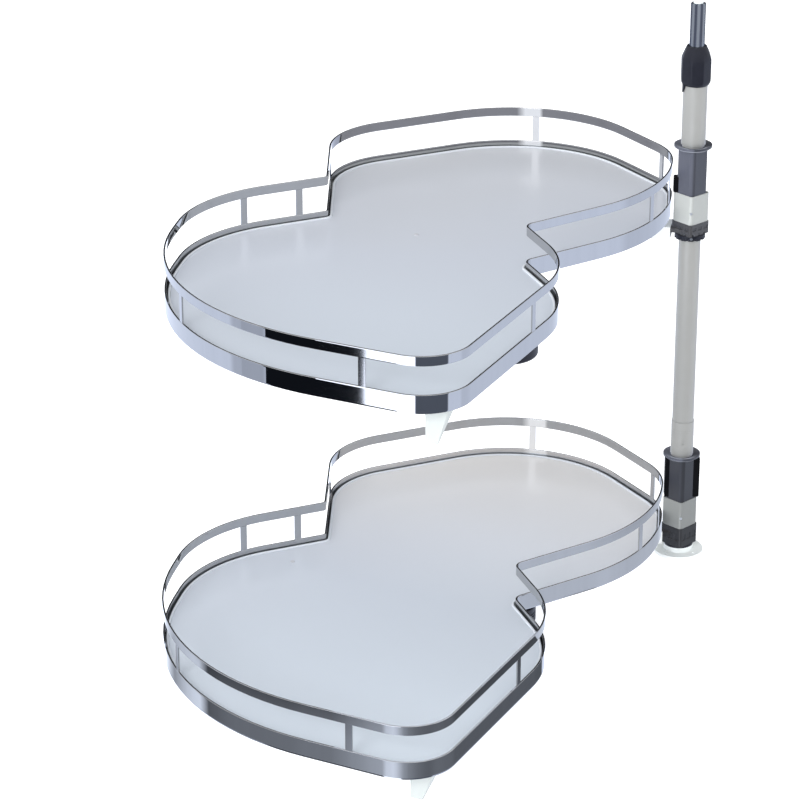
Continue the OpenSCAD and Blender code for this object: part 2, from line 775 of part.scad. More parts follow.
// A round housing under the carrier with grooves round it
module damper_housing(at, grooves) {
    translate([at[0], at[1], carrier_bottom - damper_h]) difference() {
        union() {
            cylinder(h = 4 + eps, r1 = damper_d / 2 - 3, r2 = damper_d / 2);
            translate([0, 0, 4]) cylinder(h = damper_h - 4, d = damper_d);
        }
        if (grooves > 0) for (k = [1:grooves])
            translate([0, 0, 3.6 * k]) difference() {
                cylinder(h = 1.6, d = damper_d + 2);
                translate([0, 0, -1]) cylinder(h = 4, d = damper_d - 4);
            }
    }
}

module upper_top_rail() { color("silver") upper_tray_frame() top_rail(); }
module lower_top_rail() { color("silver") lower_tray_frame() top_rail(); }
module upper_bottom_rail() { color("silver") upper_tray_frame() bottom_rail(); }
module lower_bottom_rail() { color("silver") lower_tray_frame() bottom_rail(); }
module upper_rail_posts() { color("silver") upper_tray_frame() rail_posts(); }
module lower_rail_posts() { color("silver") lower_tray_frame() rail_posts(); }
module upper_board() { color("lavender") upper_tray_frame() board(upper_cap_at); }
module lower_board() { color("lavender") lower_tray_frame() board(lower_cap_at); }
module upper_board_edging() { color("white") upper_tray_frame() board_edging(); }
module lower_board_edging() { color("white") lower_tray_frame() board_edging(); }
module upper_board_cap() { color("gray") upper_tray_frame() board_cap(upper_cap_at); }
module lower_board_cap() { color("gray") lower_tray_frame() board_cap(lower_cap_at); }
module upper_carrier() { color("beige") upper_tray_frame() carrier(); }
module lower_carrier() { color("beige") lower_tray_frame() carrier(); }
module upper_carrier_screws() { color("silver") upper_tray_frame() carrier_screws(); }
module lower_carrier_screws() { color("silver") lower_tray_frame() carrier_screws(); }
module upper_spindle() { color("silver") upper_tray_frame() spindle(); }
module lower_spindle() { color("silver") lower_tray_frame() spindle(); }
module upper_spindle_nut() { color("dimgray") upper_tray_frame() spindle_nut(); }
module lower_spindle_nut() { color("dimgray") lower_tray_frame() spindle_nut(); }

module upper_front_tongue() {
    color("mintcream") upper_tray_frame() front_tongue(upper_tongue_drop);
}

module lower_front_tongue() {
    color("mintcream") lower_tray_frame() front_tongue(lower_tongue_drop);
}

module upper_damper_housing() {
    color("dimgray") upper_tray_frame() damper_housing(upper_damper_at, 0);
}

module lower_damper_housing() {
    color("dimgray") lower_tray_frame() damper_housing(lower_damper_at, 4);
}

floor_plate();
thrust_washer();
post_tube();
spacer_sleeve();
height_ring();
upper_collar();
upper_collar_screw();
clamp_sleeve();
clamp_collet();
clamp_nut();
extension_tube();
extension_guide();
top_plate();
upper_bracket();
upper_bush();
upper_stop_lug();
upper_hub();
upper_arm_tube();
upper_arm_cup();
upper_glide_disc();
upper_arm_screws();
upper_bracket_rivet();
lower_bracket();
lower_bush();
lower_stop_lugs();
lower_hub();
lower_arm_tube();
lower_arm_cup();
lower_glide_disc();
lower_arm_screws();
lower_bracket_rivet();
upper_top_rail();
upper_bottom_rail();
upper_rail_posts();
upper_board();
upper_board_edging();
upper_carrier();
upper_front_tongue();
upper_carrier_screws();
upper_spindle();
upper_spindle_nut();
upper_damper_housing();
upper_board_cap();
lower_top_rail();
lower_bottom_rail();
lower_rail_posts();
lower_board();
lower_board_edging();
lower_carrier();
lower_front_tongue();
lower_carrier_screws();
lower_spindle();
lower_spindle_nut();
lower_damper_housing();
lower_board_cap();
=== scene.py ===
# %% [markdown]
# # A swing-out corner tray set
# Two kidney-shaped trays hang on arms round a telescopic post, inside a kitchen's corner cabinet.
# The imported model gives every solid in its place. This lesson dresses it: it replaces the curved
# pieces with smooth surfaces, gives each piece a finish made of nodes, and sets up the studio.

import json
import math

import bpy
import numpy as np
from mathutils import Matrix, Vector

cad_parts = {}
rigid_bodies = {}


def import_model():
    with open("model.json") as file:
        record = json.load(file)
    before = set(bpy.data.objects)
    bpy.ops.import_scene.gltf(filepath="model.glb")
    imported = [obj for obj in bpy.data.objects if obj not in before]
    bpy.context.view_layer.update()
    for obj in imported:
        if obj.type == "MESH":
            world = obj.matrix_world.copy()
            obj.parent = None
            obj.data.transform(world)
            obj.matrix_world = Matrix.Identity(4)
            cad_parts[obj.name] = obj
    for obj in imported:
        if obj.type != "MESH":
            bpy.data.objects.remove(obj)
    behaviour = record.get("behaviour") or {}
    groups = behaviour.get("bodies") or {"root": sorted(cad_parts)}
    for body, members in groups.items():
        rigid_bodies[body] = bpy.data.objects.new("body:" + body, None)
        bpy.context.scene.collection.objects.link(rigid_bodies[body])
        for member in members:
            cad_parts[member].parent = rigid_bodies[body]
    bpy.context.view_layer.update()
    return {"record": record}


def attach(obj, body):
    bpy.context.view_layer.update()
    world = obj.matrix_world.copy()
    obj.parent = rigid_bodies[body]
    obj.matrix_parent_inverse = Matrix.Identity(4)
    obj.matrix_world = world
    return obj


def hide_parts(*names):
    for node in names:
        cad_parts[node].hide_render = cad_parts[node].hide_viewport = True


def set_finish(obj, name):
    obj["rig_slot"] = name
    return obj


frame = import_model()

# %% [markdown]
# Every surface below is a grid of points. A closed grid becomes quads by joining each point to its
# neighbours in both directions, and the enclosed volume's sign says whether they face outwards.
# That is safer than flipping normals by eye, and it needs no loop over the vertices.

# %% A grid of points becomes a mesh
MM = 0.001


def new_object(name, places, faces):
    """A mesh object made of points in millimetres and faces, linked to the scene."""
    mesh = bpy.data.meshes.new(name)
    mesh.from_pydata((places * MM).tolist(), [], faces)
    thing = bpy.data.objects.new(name, mesh)
    bpy.context.scene.collection.objects.link(thing)
    return thing


def at_height(points, z):
    """Plane points lifted to height z."""
    return np.concatenate([points, np.full((len(points), 1), z)], -1)


def open_quads(rows, columns):
    """The quads of a grid that closes in neither direction."""
    index = np.arange(rows * columns).reshape(rows, columns)
    corners = [index[:-1, :-1], index[1:, :-1], index[1:, 1:], index[:-1, 1:]]
    return np.stack(corners, -1).reshape(-1, 4).tolist()


def skin(name, grid, ends=False):
    """grid[i, j] is point j of closed ring i, in millimetres. Neighbouring rings are joined with
    quads. The last ring joins the first one, or, with ends, the first and last ring are each
    closed with a fan to a point at their middle."""
    rings, points, _ = grid.shape
    index = np.arange(rings * points).reshape(rings, points)
    start = index[:-1] if ends else index
    above = index[1:] if ends else np.roll(index, -1, 0)
    corners = [start, np.roll(start, -1, 1), np.roll(above, -1, 1), above]
    quads = np.stack(corners, -1).reshape(-1, 4)
    places, faces = grid.reshape(-1, 3), quads.tolist()
    if ends:
        places = np.vstack([places, grid[0].mean(0), grid[-1].mean(0)])
        low, high = rings * points, rings * points + 1
        faces += np.stack([np.roll(index[0], -1), index[0], np.full(points, low)], -1).tolist()
        faces += np.stack([index[-1], np.roll(index[-1], -1), np.full(points, high)], -1).tolist()
    a, b, c, d = (places[quads[:, k]] for k in range(4))
    volume = (np.cross(b - a, c - a) * a + np.cross(c - a, d - a) * a).sum()
    if volume < 0:
        faces = [face[::-1] for face in faces]
    piece = new_object(name, places, faces)
    piece.data.shade_smooth()
    return piece


def dress(piece, body, slot, *nodes):
    """The piece moves with a body, takes its finish from a slot and stands for CAD nodes."""
    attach(piece, body)
    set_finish(piece, slot)
    if nodes:
        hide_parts(*nodes)
    print(piece.name, len(piece.data.polygons), "faces, stands for", ", ".join(nodes) or "no node")
    return piece


# %% [markdown]
# The trays' outline, the square brackets and the edges of the chrome strip are all one shape: a
# polygon whose corners are rounded. Each corner is exchanged for the arc of its radius that
# touches both sides, and a few points on every straight keep the shading flat there.

# %% Round the corners of any polygon
def rounded_path(corners, radii, arc_points=24, on_straight=(0.02, 0.35, 0.65, 0.98)):
    """Points along a closed polygon with rounded corners, and the unit normal to the left of each.
    The arc's centre lies on the corner's bisector, r / sin(half) away, where half is half of the
    angle between the two sides, and the arc starts r / tan(half) before the corner."""
    corners = np.asarray(corners, float)
    radii = np.broadcast_to(np.asarray(radii, float), len(corners))[:, None]
    back = np.roll(corners, 1, 0) - corners
    ahead = np.roll(corners, -1, 0) - corners
    back /= np.linalg.norm(back, axis=1, keepdims=True)
    ahead /= np.linalg.norm(ahead, axis=1, keepdims=True)
    half = np.arccos((back * ahead).sum(1, keepdims=True)) / 2
    bisector = (back + ahead) / np.linalg.norm(back + ahead, axis=1, keepdims=True)
    centre = corners + bisector * radii / np.sin(half)
    spoke = corners + back * radii / np.tan(half) - centre
    turn = np.sign(-back[:, 0] * ahead[:, 1] + back[:, 1] * ahead[:, 0])[:, None]
    angle = turn * (math.pi - 2 * half) * np.linspace(0, 1, arc_points)
    cos, sin = np.cos(angle)[..., None], np.sin(angle)[..., None]
    swung = cos * spoke[:, None] + sin * np.stack([-spoke[:, 1], spoke[:, 0]], -1)[:, None]
    arcs = centre[:, None] + swung
    arc_normals = -turn[..., None] * swung / radii[..., None]
    leave, arrive = arcs[:, -1:], np.roll(arcs[:, :1], -1, 0)
    share = np.asarray(on_straight)[:, None]
    straights = leave + (arrive - leave) * share
    to_the_left = np.stack([-ahead[:, 1], ahead[:, 0]], -1)[:, None]
    straight_normals = np.broadcast_to(to_the_left, straights.shape)
    points = np.concatenate([arcs, straights], 1).reshape(-1, 2)
    normals = np.concatenate([arc_normals, straight_normals], 1).reshape(-1, 2)
    return points, normals


# %% [markdown]
# On the real tray the gallery is steel strip bent round the board. The plan below is the tray's
# outline, anticlockwise from the front corner. A strip's cross section is carried along it: each
# point of the section is a depth inwards and a height.

# %% The trays' plan and its place on each tier
plan_corners = [
    [-284, -571], [-150, -298], [-194, -180], [-27, -65], [-16, 69],
    [-139, 272], [-411, 146], [-413, -21], [-555, -86], [-618, -410],
]
plan_radii = [54, 148, 11, 215, 95, 153, 97, 4, 158, 293]
pivot = np.array([-218.0, 41.0])
arm_length = float(np.hypot(*pivot))
upper_arm_angle = math.degrees(math.atan2(pivot[1], pivot[0]))
tiers = {
    "upper": {"height": 476.0, "arm": upper_arm_angle, "tray": 0.0},
    "lower": {"height": 96.0, "arm": upper_arm_angle + 14, "tray": -1.1},
}


def turned_by(points, degrees):
    """Plane points turned anticlockwise about the origin."""
    cos, sin = math.cos(math.radians(degrees)), math.sin(math.radians(degrees))
    return points @ np.array([[cos, sin], [-sin, cos]])


def on_tier(tier, grid):
    """Moves points from the tray's plan to a tier: turned about the pivot, on the arm's end."""
    t = tiers[tier]
    end = turned_by(np.array([arm_length, 0.0]), t["arm"])
    flat = turned_by(grid[..., :2] - pivot, t["tray"]) + end
    return np.concatenate([flat, grid[..., 2:] + t["height"]], -1)


def carried(path, normals, section):
    """Point [i, j] is path point i moved inwards by section point j's depth, at its height."""
    flat = path[:, None] + normals[:, None] * section[None, :, :1]
    height = np.broadcast_to(section[None, :, 1:], flat.shape[:2] + (1,))
    return np.concatenate([flat, height], -1)


tray_path, tray_inward = rounded_path(plan_corners, plan_radii)
print("the tray's outline has", len(tray_path), "points over", np.ptp(tray_path, axis=0).round(1))

# %% [markdown]
# The strip's edges are rounded by half a millimetre. The real strip has that from rolling, and it
# is what draws the thin dark and bright lines along the rails in the photograph. Each skin marks
# its outer faces in an attribute, because the chrome's finish treats the inner ones differently.

# %% The two chrome rails and the board's edging of each tray
strip_t = 2.0
top_rail_h = 10.5
gallery_h = 61.0
bottom_rail_h = 20.0
lip_w, lip_t = 10.0, 1.5
board_top = -48.5
edging_out, edging_w, edging_rise = 3.7, 2.5, 1.5


def section_of(corners, r):
    """A strip's cross section with its corners rounded by r."""
    return rounded_path(corners, r, arc_points=5, on_straight=(0.06, 0.94))[0]


top_section = section_of([[0, -top_rail_h], [strip_t, -top_rail_h], [strip_t, 0], [0, 0]], 0.45)
bottom = -gallery_h
bottom_section = section_of(
    [[0, bottom], [lip_w, bottom], [lip_w, bottom + lip_t], [strip_t, bottom + lip_t],
     [strip_t, bottom + bottom_rail_h], [0, bottom + bottom_rail_h]], 0.4)
edging_section = section_of(
    [[edging_out, bottom + lip_t], [edging_out + edging_w, bottom + lip_t],
     [edging_out + edging_w, board_top + edging_rise], [edging_out, board_top + edging_rise]], 0.7)
for tier in tiers:
    for kind, slot, section in (
        ("top_rail", "chrome_rail", top_section),
        ("bottom_rail", "chrome_rail", bottom_section),
        ("board_edging", "edging_plastic", edging_section),
    ):
        grid = on_tier(tier, carried(tray_path, tray_inward, section))
        piece = dress(skin(f"{tier}_{kind}_skin", grid), f"{tier}_tray", slot, f"{tier}_{kind}")
        # Outer faces are marked so that the chrome's painted reflections go only on the inner
        # faces.
        outside = np.tile(section[:, 0] < strip_t / 2, len(tray_path)).astype(float)
        mark = piece.data.attributes.new("outside", "FLOAT", "POINT")
        mark.data.foreach_set("value", outside)

# %% [markdown]
# Round pieces are a profile turned about the post's axis: a list of radii and heights. A ring's
# profile closes on itself, so the piece keeps its bore and nothing is buried in the post.

# %% Rings turned about the post
same_place = 1e-6
circle, _ = rounded_path([[1, -1], [1, 1], [-1, 1], [-1, -1]], 1.0, on_straight=())
circle = circle[np.r_[True, np.linalg.norm(np.diff(circle, axis=0), axis=1) > same_place]]
if np.linalg.norm(circle[0] - circle[-1]) < same_place:
    circle = circle[:-1]


def turned(profile, centre=(0.0, 0.0)):
    """Ring i is the unit circle times profile[i]'s radius, at its height."""
    profile = np.asarray(profile, float)
    flat = circle[None] * profile[:, None, :1] + np.asarray(centre)
    height = np.broadcast_to(profile[:, None, 1:], flat.shape[:2] + (1,))
    return np.concatenate([flat, height], -1)


def sleeve(outer, inner, low, high, soft=0.4):
    """The profile of a plain ring with softened outer edges."""
    soft = min(soft, (outer - inner) * 0.4)
    return section_of([[inner, low], [outer, low], [outer, high], [inner, high]], soft)


post_r, post_wall = 12.5, 1.5
post_low, post_high = 10.0, 576.0
ring_low, ring_high, ring_t = 157.5, 169.0, 0.7
over_post = post_r + 0.01
tube_profile = sleeve(post_r, post_r - post_wall, post_low, post_high)
ring_profile = sleeve(post_r + ring_t, over_post, ring_low, ring_high, 0.3)
dress(skin("post_tube_skin", turned(tube_profile)), "post", "post_paint", "post_tube")
dress(skin("height_ring_skin", turned(ring_profile)), "post", "post_paint", "height_ring")

# %% [markdown]
# The clamp sleeve sits on the post's end. Its neck goes up inside the nut, so the profile steps in
# there, and its bore steps in over the post's rim.

# %% The clamp sleeve
sleeve_r, neck_r, neck_bore = 13.75, 13.0, 10.0
sleeve_low, neck_low, neck_high = 507.5, 577.0, 595.0
over_rim = post_high + 0.05
sleeve_profile = section_of(
    [[over_post, sleeve_low], [sleeve_r, sleeve_low], [sleeve_r, neck_low], [neck_r, neck_low],
     [neck_r, neck_high], [neck_bore, neck_high], [neck_bore, over_rim], [over_post, over_rim]],
    0.25)
dress(skin("clamp_sleeve_skin", turned(sleeve_profile)), "post", "post_paint", "clamp_sleeve")

# %% [markdown]
# The extension tube is drawn with eight flutes that catch the light as bright and dark lines. Its
# section is a circle whose radius dips at each flute, and the section is stacked along the tube.

# %% The fluted extension tube
extension_r, extension_edge = 8.5, 0.5
extension_low, extension_high = 441.0, 671.0
flutes, flute_depth, flute_sharpness = 8, 0.9, 6
flute_from, flute_run_in = extension_low + 24, 4


def fluted(angle, depth):
    """The radius at an angle: full between flutes, and dipping by depth in a smooth groove."""
    wave = 0.5 + 0.5 * np.cos(flutes * angle + math.pi)
    return extension_r - depth * wave**flute_sharpness


angles = np.linspace(0, 2 * math.pi, 192, endpoint=False)
rows = [  # the flutes' depth, the height, and how far the ring is drawn in
    (0.0, extension_low, extension_edge),
    (0.0, extension_low + extension_edge, 0.0),
    (0.0, flute_from - flute_run_in, 0.0),
    (flute_depth, flute_from, 0.0),
    (flute_depth, 560, 0.0),
    (flute_depth, extension_high - extension_edge, 0.0),
    (flute_depth, extension_high, extension_edge),
]
radii = np.stack([fluted(angles, depth) - inset for depth, _, inset in rows])
flat = radii[..., None] * np.stack([np.cos(angles), np.sin(angles)], -1)
heights = np.broadcast_to(np.array([z for _, z, _ in rows])[:, None, None], radii.shape + (1,))
dress(skin("extension_tube_skin", np.concatenate([flat, heights], -1), ends=True),
      "extension", "extension_aluminium", "extension_tube")

# %% [markdown]
# The bracket is square tube on edge, so that one corner faces the cabinet's door. The bush inside
# it has the same turn. Both sections are polygons with small corner radii, stacked into walls:
# out along the outside, over the rim and back down the bore.

# %% Brackets and bushes
bracket_side, bracket_wall, bracket_r = 30.0, 1.2, 4.0
bracket_low, bracket_high = -60.0, -26.0
bush_reach, bush_half = 16.2, 19.37
flange_low, flange_high, flange_r = 26.5, 31.0, 21.5
flange_top = flange_high - 1.8
bore_r = 12.55
face_turn = {"upper": -4.0, "lower": 0.0}


def walls(outer, inner, low, high, soft):
    """Rings of a wall: outside from low to high, then the inside from high to low, with the
    outer and inner rings drawn in by soft at both rims. Rings hold matching points."""
    middle = (outer + inner) / 2
    rim = 0.5 * (outer + middle), 0.5 * (inner + middle)
    stack = [(rim[0], low), (outer, low + soft), (outer, low + 2 * soft), (outer, high - 2 * soft),
             (outer, high - soft), (rim[0], high), (rim[1], high), (inner, high - soft),
             (inner, low + soft), (rim[1], low)]
    return np.stack([at_height(ring, z) for ring, z in stack])


def square_on_edge(side, r):
    """A square of that side with rounded corners, standing on a corner."""
    half = side / math.sqrt(2)
    return rounded_path([[half, 0], [0, half], [-half, 0], [0, -half]], r, arc_points=9)


def at_bracket(tier, grid):
    """Turned as the tier's bracket is, and lifted to the tier."""
    flat = turned_by(grid[..., :2], face_turn[tier])
    return np.concatenate([flat, grid[..., 2:] + tiers[tier]["height"]], -1)


bracket_outer, inward = square_on_edge(bracket_side, bracket_r)
bracket_inner = bracket_outer + inward * bracket_wall
trim = bush_half - bush_reach
bush_outer, _ = rounded_path(
    [[bush_reach, -trim], [bush_reach, trim], [trim, bush_reach], [-trim, bush_reach],
     [-bush_reach, trim], [-bush_reach, -trim], [-trim, -bush_reach], [trim, -bush_reach]],
    0.8, arc_points=5, on_straight=(0.08, 0.5, 0.92))
bush_bore = bush_outer / np.linalg.norm(bush_outer, axis=1, keepdims=True) * bore_r
bracket_walls = walls(bracket_outer, bracket_inner, bracket_low, bracket_high, 0.25)
bush_walls = walls(bush_outer, bush_bore, bracket_low, flange_low + 0.3, 0.3)
flange = section_of(
    [[bore_r, flange_low], [flange_r - 3, flange_low], [flange_r, flange_low + 2],
     [flange_r, flange_high], [flange_r - 1.2, flange_high], [post_r + 2, flange_top],
     [bore_r, flange_top]], 0.2)
for tier in tiers:
    dress(skin(f"{tier}_bracket_skin", at_bracket(tier, bracket_walls)),
          f"{tier}_arm", "bracket_paint", f"{tier}_bracket")
    dress(skin(f"{tier}_bush_skin", at_bracket(tier, bush_walls)),
          f"{tier}_arm", "bush_plastic", f"{tier}_bush")
    dress(skin(f"{tier}_bush_flange_skin", at_bracket(tier, turned(flange))),
          f"{tier}_arm", "bush_plastic")

# %% [markdown]
# The clamp nut is an eight-sided grip that narrows at both ends. Stacked octagons with rounded
# corners give it, each scaled to the nut's profile. The tab that hangs from its rim is part of
# the same moulding.

# %% The clamp nut
nut_low, nut_high = 577.5, 622.5
nut_half = 17.75
neck_room = neck_high + 0.5
eighths = math.radians(22.5) + np.arange(8) * math.pi / 4
octagon, _ = rounded_path(
    np.stack([np.cos(eighths), np.sin(eighths)], -1) * nut_half, 3.0, arc_points=7)
reach = np.linalg.norm(octagon, axis=1, keepdims=True)
ring_of = octagon / reach


def nut_ring(limit, z):
    """The octagon cut back to a circle of radius limit, where that is smaller: the soft minimum
    of the two radii, which is -log(exp(-3 a) + exp(-3 b)) / 3."""
    soft = -np.log(np.exp(-reach * 3) + np.exp(-limit * 3)) / 3
    return at_height(ring_of * soft, z)


def bore_ring(r, z):
    """The same points on a plain circle of radius r."""
    return at_height(ring_of * r, z)


nut_rings = np.stack([
    nut_ring(14.6, nut_low), nut_ring(15.0, nut_low + 0.3), nut_ring(16.4, nut_low + 2.6),
    nut_ring(17.6, nut_low + 5), nut_ring(18.2, nut_low + 8), nut_ring(18.2, nut_high - 18),
    nut_ring(17.5, nut_high - 14.5), nut_ring(14.4, nut_high - 7.5), nut_ring(11.4, nut_high - 1),
    nut_ring(10.6, nut_high), bore_ring(9.3, nut_high), bore_ring(9.1, nut_high - 0.4),
    bore_ring(9.1, nut_high - 13), bore_ring(10.3, nut_high - 13.2),
    bore_ring(13.1, neck_room), bore_ring(13.1, nut_low + 0.3), bore_ring(13.3, nut_low),
])
dress(skin("clamp_nut_skin", nut_rings), "nut", "dark_plastic", "clamp_nut")
tab_turn, tab_in, tab_t, tab_half = 205.0, 14.05, 1.8, 2.25
tab_out = tab_in + tab_t
tab = []
for drop, high_side in ((1.5, tab_half), (-1, tab_half), (-4, 0.9), (-8, -1.4)):
    ring, _ = rounded_path(
        [[tab_in, -tab_half], [tab_out, -tab_half], [tab_out, high_side], [tab_in, high_side]],
        0.3, arc_points=4, on_straight=(0.5,))
    tab.append(at_height(turned_by(ring, tab_turn), nut_low + drop))
dress(skin("clamp_nut_tab_skin", np.stack(tab), ends=True), "nut", "dark_plastic")

# %% [markdown]
# Each damper housing is a round pot under the board. The lower one has grooves all round it, as the
# photograph shows through the notch; the upper one is smooth with a rounded lower edge.

# %% The damper housings
damper_r, damper_h, damper_top = 34.0, 22.0, -62.5
damper_low = damper_top - damper_h
damper_at = {"upper": [-220, -340], "lower": [-204, -150]}
foot_r, damper_edge = 4, 0.4
groove_pitch, groove_w, groove_d = 3.6, 1.6, 2.0


def pot_profile(grooves):
    """Radii and heights up the pot's side: a rounded foot, the grooves, and the top edge."""
    bend = np.radians(np.linspace(-80, 0, 8))
    foot = [damper_r - foot_r + foot_r * np.cos(bend), damper_low + foot_r + foot_r * np.sin(bend)]
    z = np.linspace(damper_low + foot_r + 0.1, damper_top - damper_edge, 120)
    phase = (z - damper_low) / groove_pitch
    number, share = np.floor(phase), (phase % 1.0) * groove_pitch / groove_w
    cut = np.clip(np.minimum(share, 1 - share) * 5, 0, 1) * (number >= 1) * (number <= grooves)
    side = np.stack([damper_r - groove_d * cut, z], -1)
    top_edge = [[damper_r - damper_edge, damper_top]]
    return np.vstack([np.stack(foot, -1), side if grooves else side[::40], top_edge])


for tier, grooves in (("upper", 0), ("lower", 4)):
    grid = on_tier(tier, turned(pot_profile(grooves), damper_at[tier]))
    dress(skin(f"{tier}_damper_housing_skin", grid, ends=True),
          f"{tier}_tray", "dark_plastic", f"{tier}_damper_housing")

# %% [markdown]
# Finishes are made of nodes. To keep the maths readable, one small class wraps a socket and turns
# Python's operators into Math nodes, and one method makes every other node from its settings and
# its inputs. The same tool is used for the materials and for the studio's surroundings. The short
# functions after it name the few nodes that come back in every finish.

# %% Node maths in plain Python
class Value:
    """A number that varies over a surface. +, - and * on it add Math nodes."""

    def __init__(self, tree, socket):
        self.tree, self.socket = tree, socket

    def maths(self, operation, first, second):
        return self.tree.node("Math", {"operation": operation}, {0: first, 1: second})

    def __add__(self, other):
        return self.maths("ADD", self, other)

    def __radd__(self, other):
        return self.maths("ADD", other, self)

    def __sub__(self, other):
        return self.maths("SUBTRACT", self, other)

    def __rsub__(self, other):
        return self.maths("SUBTRACT", other, self)

    def __mul__(self, other):
        return self.maths("MULTIPLY", self, other)

    def __rmul__(self, other):
        return self.maths("MULTIPLY", other, self)


class Tree:
    """A node tree that is being filled. Its one method makes a node of any type."""

    def __init__(self, tree):
        self.tree = tree

    def node(self, kind, settings=None, inputs=None, output=0):
        """Makes ShaderNode<kind>, sets it, then sets or links its inputs. Returns one output."""
        made = self.tree.nodes.new("ShaderNode" + kind)
        for name, value in (settings or {}).items():
            if name == "stops":
                ramp = made.color_ramp
                while len(ramp.elements) < len(value):
                    ramp.elements.new(0.5)
                for element, (place, colour) in zip(ramp.elements, value):
                    element.position = place
                    element.color = (*colour, 1.0) if len(colour) == 3 else colour
            else:
                setattr(made, name, value)
        for name, value in (inputs or {}).items():
            if isinstance(value, Value):
                self.tree.links.new(value.socket, made.inputs[name])
            else:
                made.inputs[name].default_value = value
        return None if output is None else Value(self, made.outputs[output])


def finish(name):
    """A new material with its Principled shader. Returns the material, its tree and the shader."""
    material = bpy.data.materials.new(name)
    material.use_nodes = True
    return material, Tree(material.node_tree), material.node_tree.nodes["Principled BSDF"]


def set_shader(tree, shader, values):
    """Numbers go on the shader's own sockets, and what varies is linked to them."""
    for name, value in values.items():
        if isinstance(value, Value):
            tree.tree.links.new(value.socket, shader.inputs[name])
        else:
            shader.inputs[name].default_value = value


def part(place, axis):
    """One coordinate of a place, in metres."""
    return place.tree.node("SeparateXYZ", {}, {0: place}, output=axis)


def noise(place, scale, detail):
    """Clouds from 0 to 1."""
    return place.tree.node("TexNoise", {}, {"Vector": place, "Scale": scale, "Detail": detail})


def stretched(place, along_post):
    """The place with its height times along_post, which draws noise out into lines."""
    return place.tree.node("Mapping", {}, {"Vector": place, "Scale": (1.0, 1.0, along_post)})


def ramp(value, *stops):
    """The colour that the stops give to a value."""
    return value.tree.node("ValToRGB", {"stops": stops}, {0: value})


def between(value, start, end):
    """0 where the value is at start and 1 where it is at end."""
    return value.tree.node("MapRange", {}, {"Value": value, "From Min": start, "From Max": end})


def blend(share, first, second):
    """A Mix node for colours: first where share is 0 and second where it is 1."""
    return share.tree.node("MixRGB", {}, {"Fac": share, "Color1": first, "Color2": second})


def tinted(share, colour, factor):
    """The colour times another one, as far as share says."""
    return share.tree.node("MixRGB", {"blend_type": "MULTIPLY"},
                           {"Fac": share, "Color1": colour, "Color2": factor})


def bump(height, strength, distance=0.0004):
    """The normal of a surface that is raised by the height times a distance in metres."""
    return height.tree.node(
        "Bump", {}, {"Strength": strength, "Distance": distance, "Height": height})


# %% [markdown]
# Chrome plating is a mirror that is not quite flat: the strip keeps a slow wave from bending and
# rolling, and polishing leaves fine lines along it. The wave is a broad noise in a bump, the lines
# only change the roughness a little. The inner faces of the back rails would mirror a part of the
# room that nothing else shows, so they get painted reflections: tones painted into the colour by
# height, with a painted white highlight at the back post.

# %% Chrome and steel
far_back = (0.05, 0.11)
spot_lean = 0.026
spot_left, spot_right, spot_back = (-0.178, -0.168), (-0.147, -0.151), (0.13, 0.14)
# Painted reflections on the back rails' inner faces, as factors on the chrome's colour: the posts'
# bright bands and the dark line are painted too.
painted_reflection_tones = [  # from and to, as twice the height in metres, and the factor on the colour
    (0.000, 0.110, (1.37, 1.33, 1.30)),  # the lower tray's bottom rail
    (0.113, 0.169, (2.10, 2.10, 2.10)),  # its posts
    (0.171, 0.500, (1.00, 1.00, 1.00)),  # its top rail
    (0.510, 0.863, (0.98, 0.98, 0.95)),  # the upper tray's bottom rail
    (0.866, 0.870, (0.28, 0.28, 0.30)),  # the dark line along that rail's edge
    (0.872, 0.929, (2.10, 2.10, 2.10)),  # its posts
    (0.931, 1.000, (0.64, 0.63, 0.65)),  # its top rail
]


def painted_back_reflections(place, tone):
    """Painted reflections: the tone on inner faces far back, and a painted white highlight at the
    spot. The highlight leans a little, so that it stands beside the back post of both trays."""
    side, across, height = (part(place, axis) for axis in "XYZ")
    inside = 1 - place.tree.node("Attribute", {"attribute_name": "outside"}, output="Fac")
    stops = [(end, factor) for low, high, factor in painted_reflection_tones for end in (low, high)]
    far = inside * between(across, *far_back)
    tone = tinted(far, tone, ramp(2.0 * height, *stops))
    leaning = side + spot_lean * height
    painted_highlight = inside * between(leaning, *spot_left) * between(leaning, *spot_right)
    return blend(painted_highlight * between(across, *spot_back), tone, (1.0, 1.0, 1.0, 1.0))


def metal(name, colour, dark, roughness, spread, wave, wave_scale, streak_scale, rails=False):
    """Bare metal: its colour drifts between two close shades, and streaks change its roughness.
    With rails, the back rails' inner faces get painted reflections and a painted highlight.
    """
    material, tree, shader = finish(name)
    place = tree.node("TexCoord", output="Object")
    streaks = noise(stretched(place, streak_scale), 60.0, 5.0)
    tone = ramp(noise(stretched(place, 0.04), 80.0, 3.0), (0.3, dark), (0.7, colour))
    # Painted reflections and a painted white highlight on the back rails' inner faces.
    if rails:
        tone = painted_back_reflections(place, tone)
    set_shader(tree, shader, {
        "Base Color": tone, "Metallic": 1.0, "Roughness": roughness + spread * streaks,
        "Normal": bump(noise(place, wave_scale, 1.0), wave, 0.01)})
    return material


# %% [markdown]
# The extension tube is anodised, and its flutes are painted darker than the ribs between them:
# painted shade in the grooves. The angle round the tube's axis says where a point lies: its
# cosine, taken eight times round, is 1 in the middle of each groove.

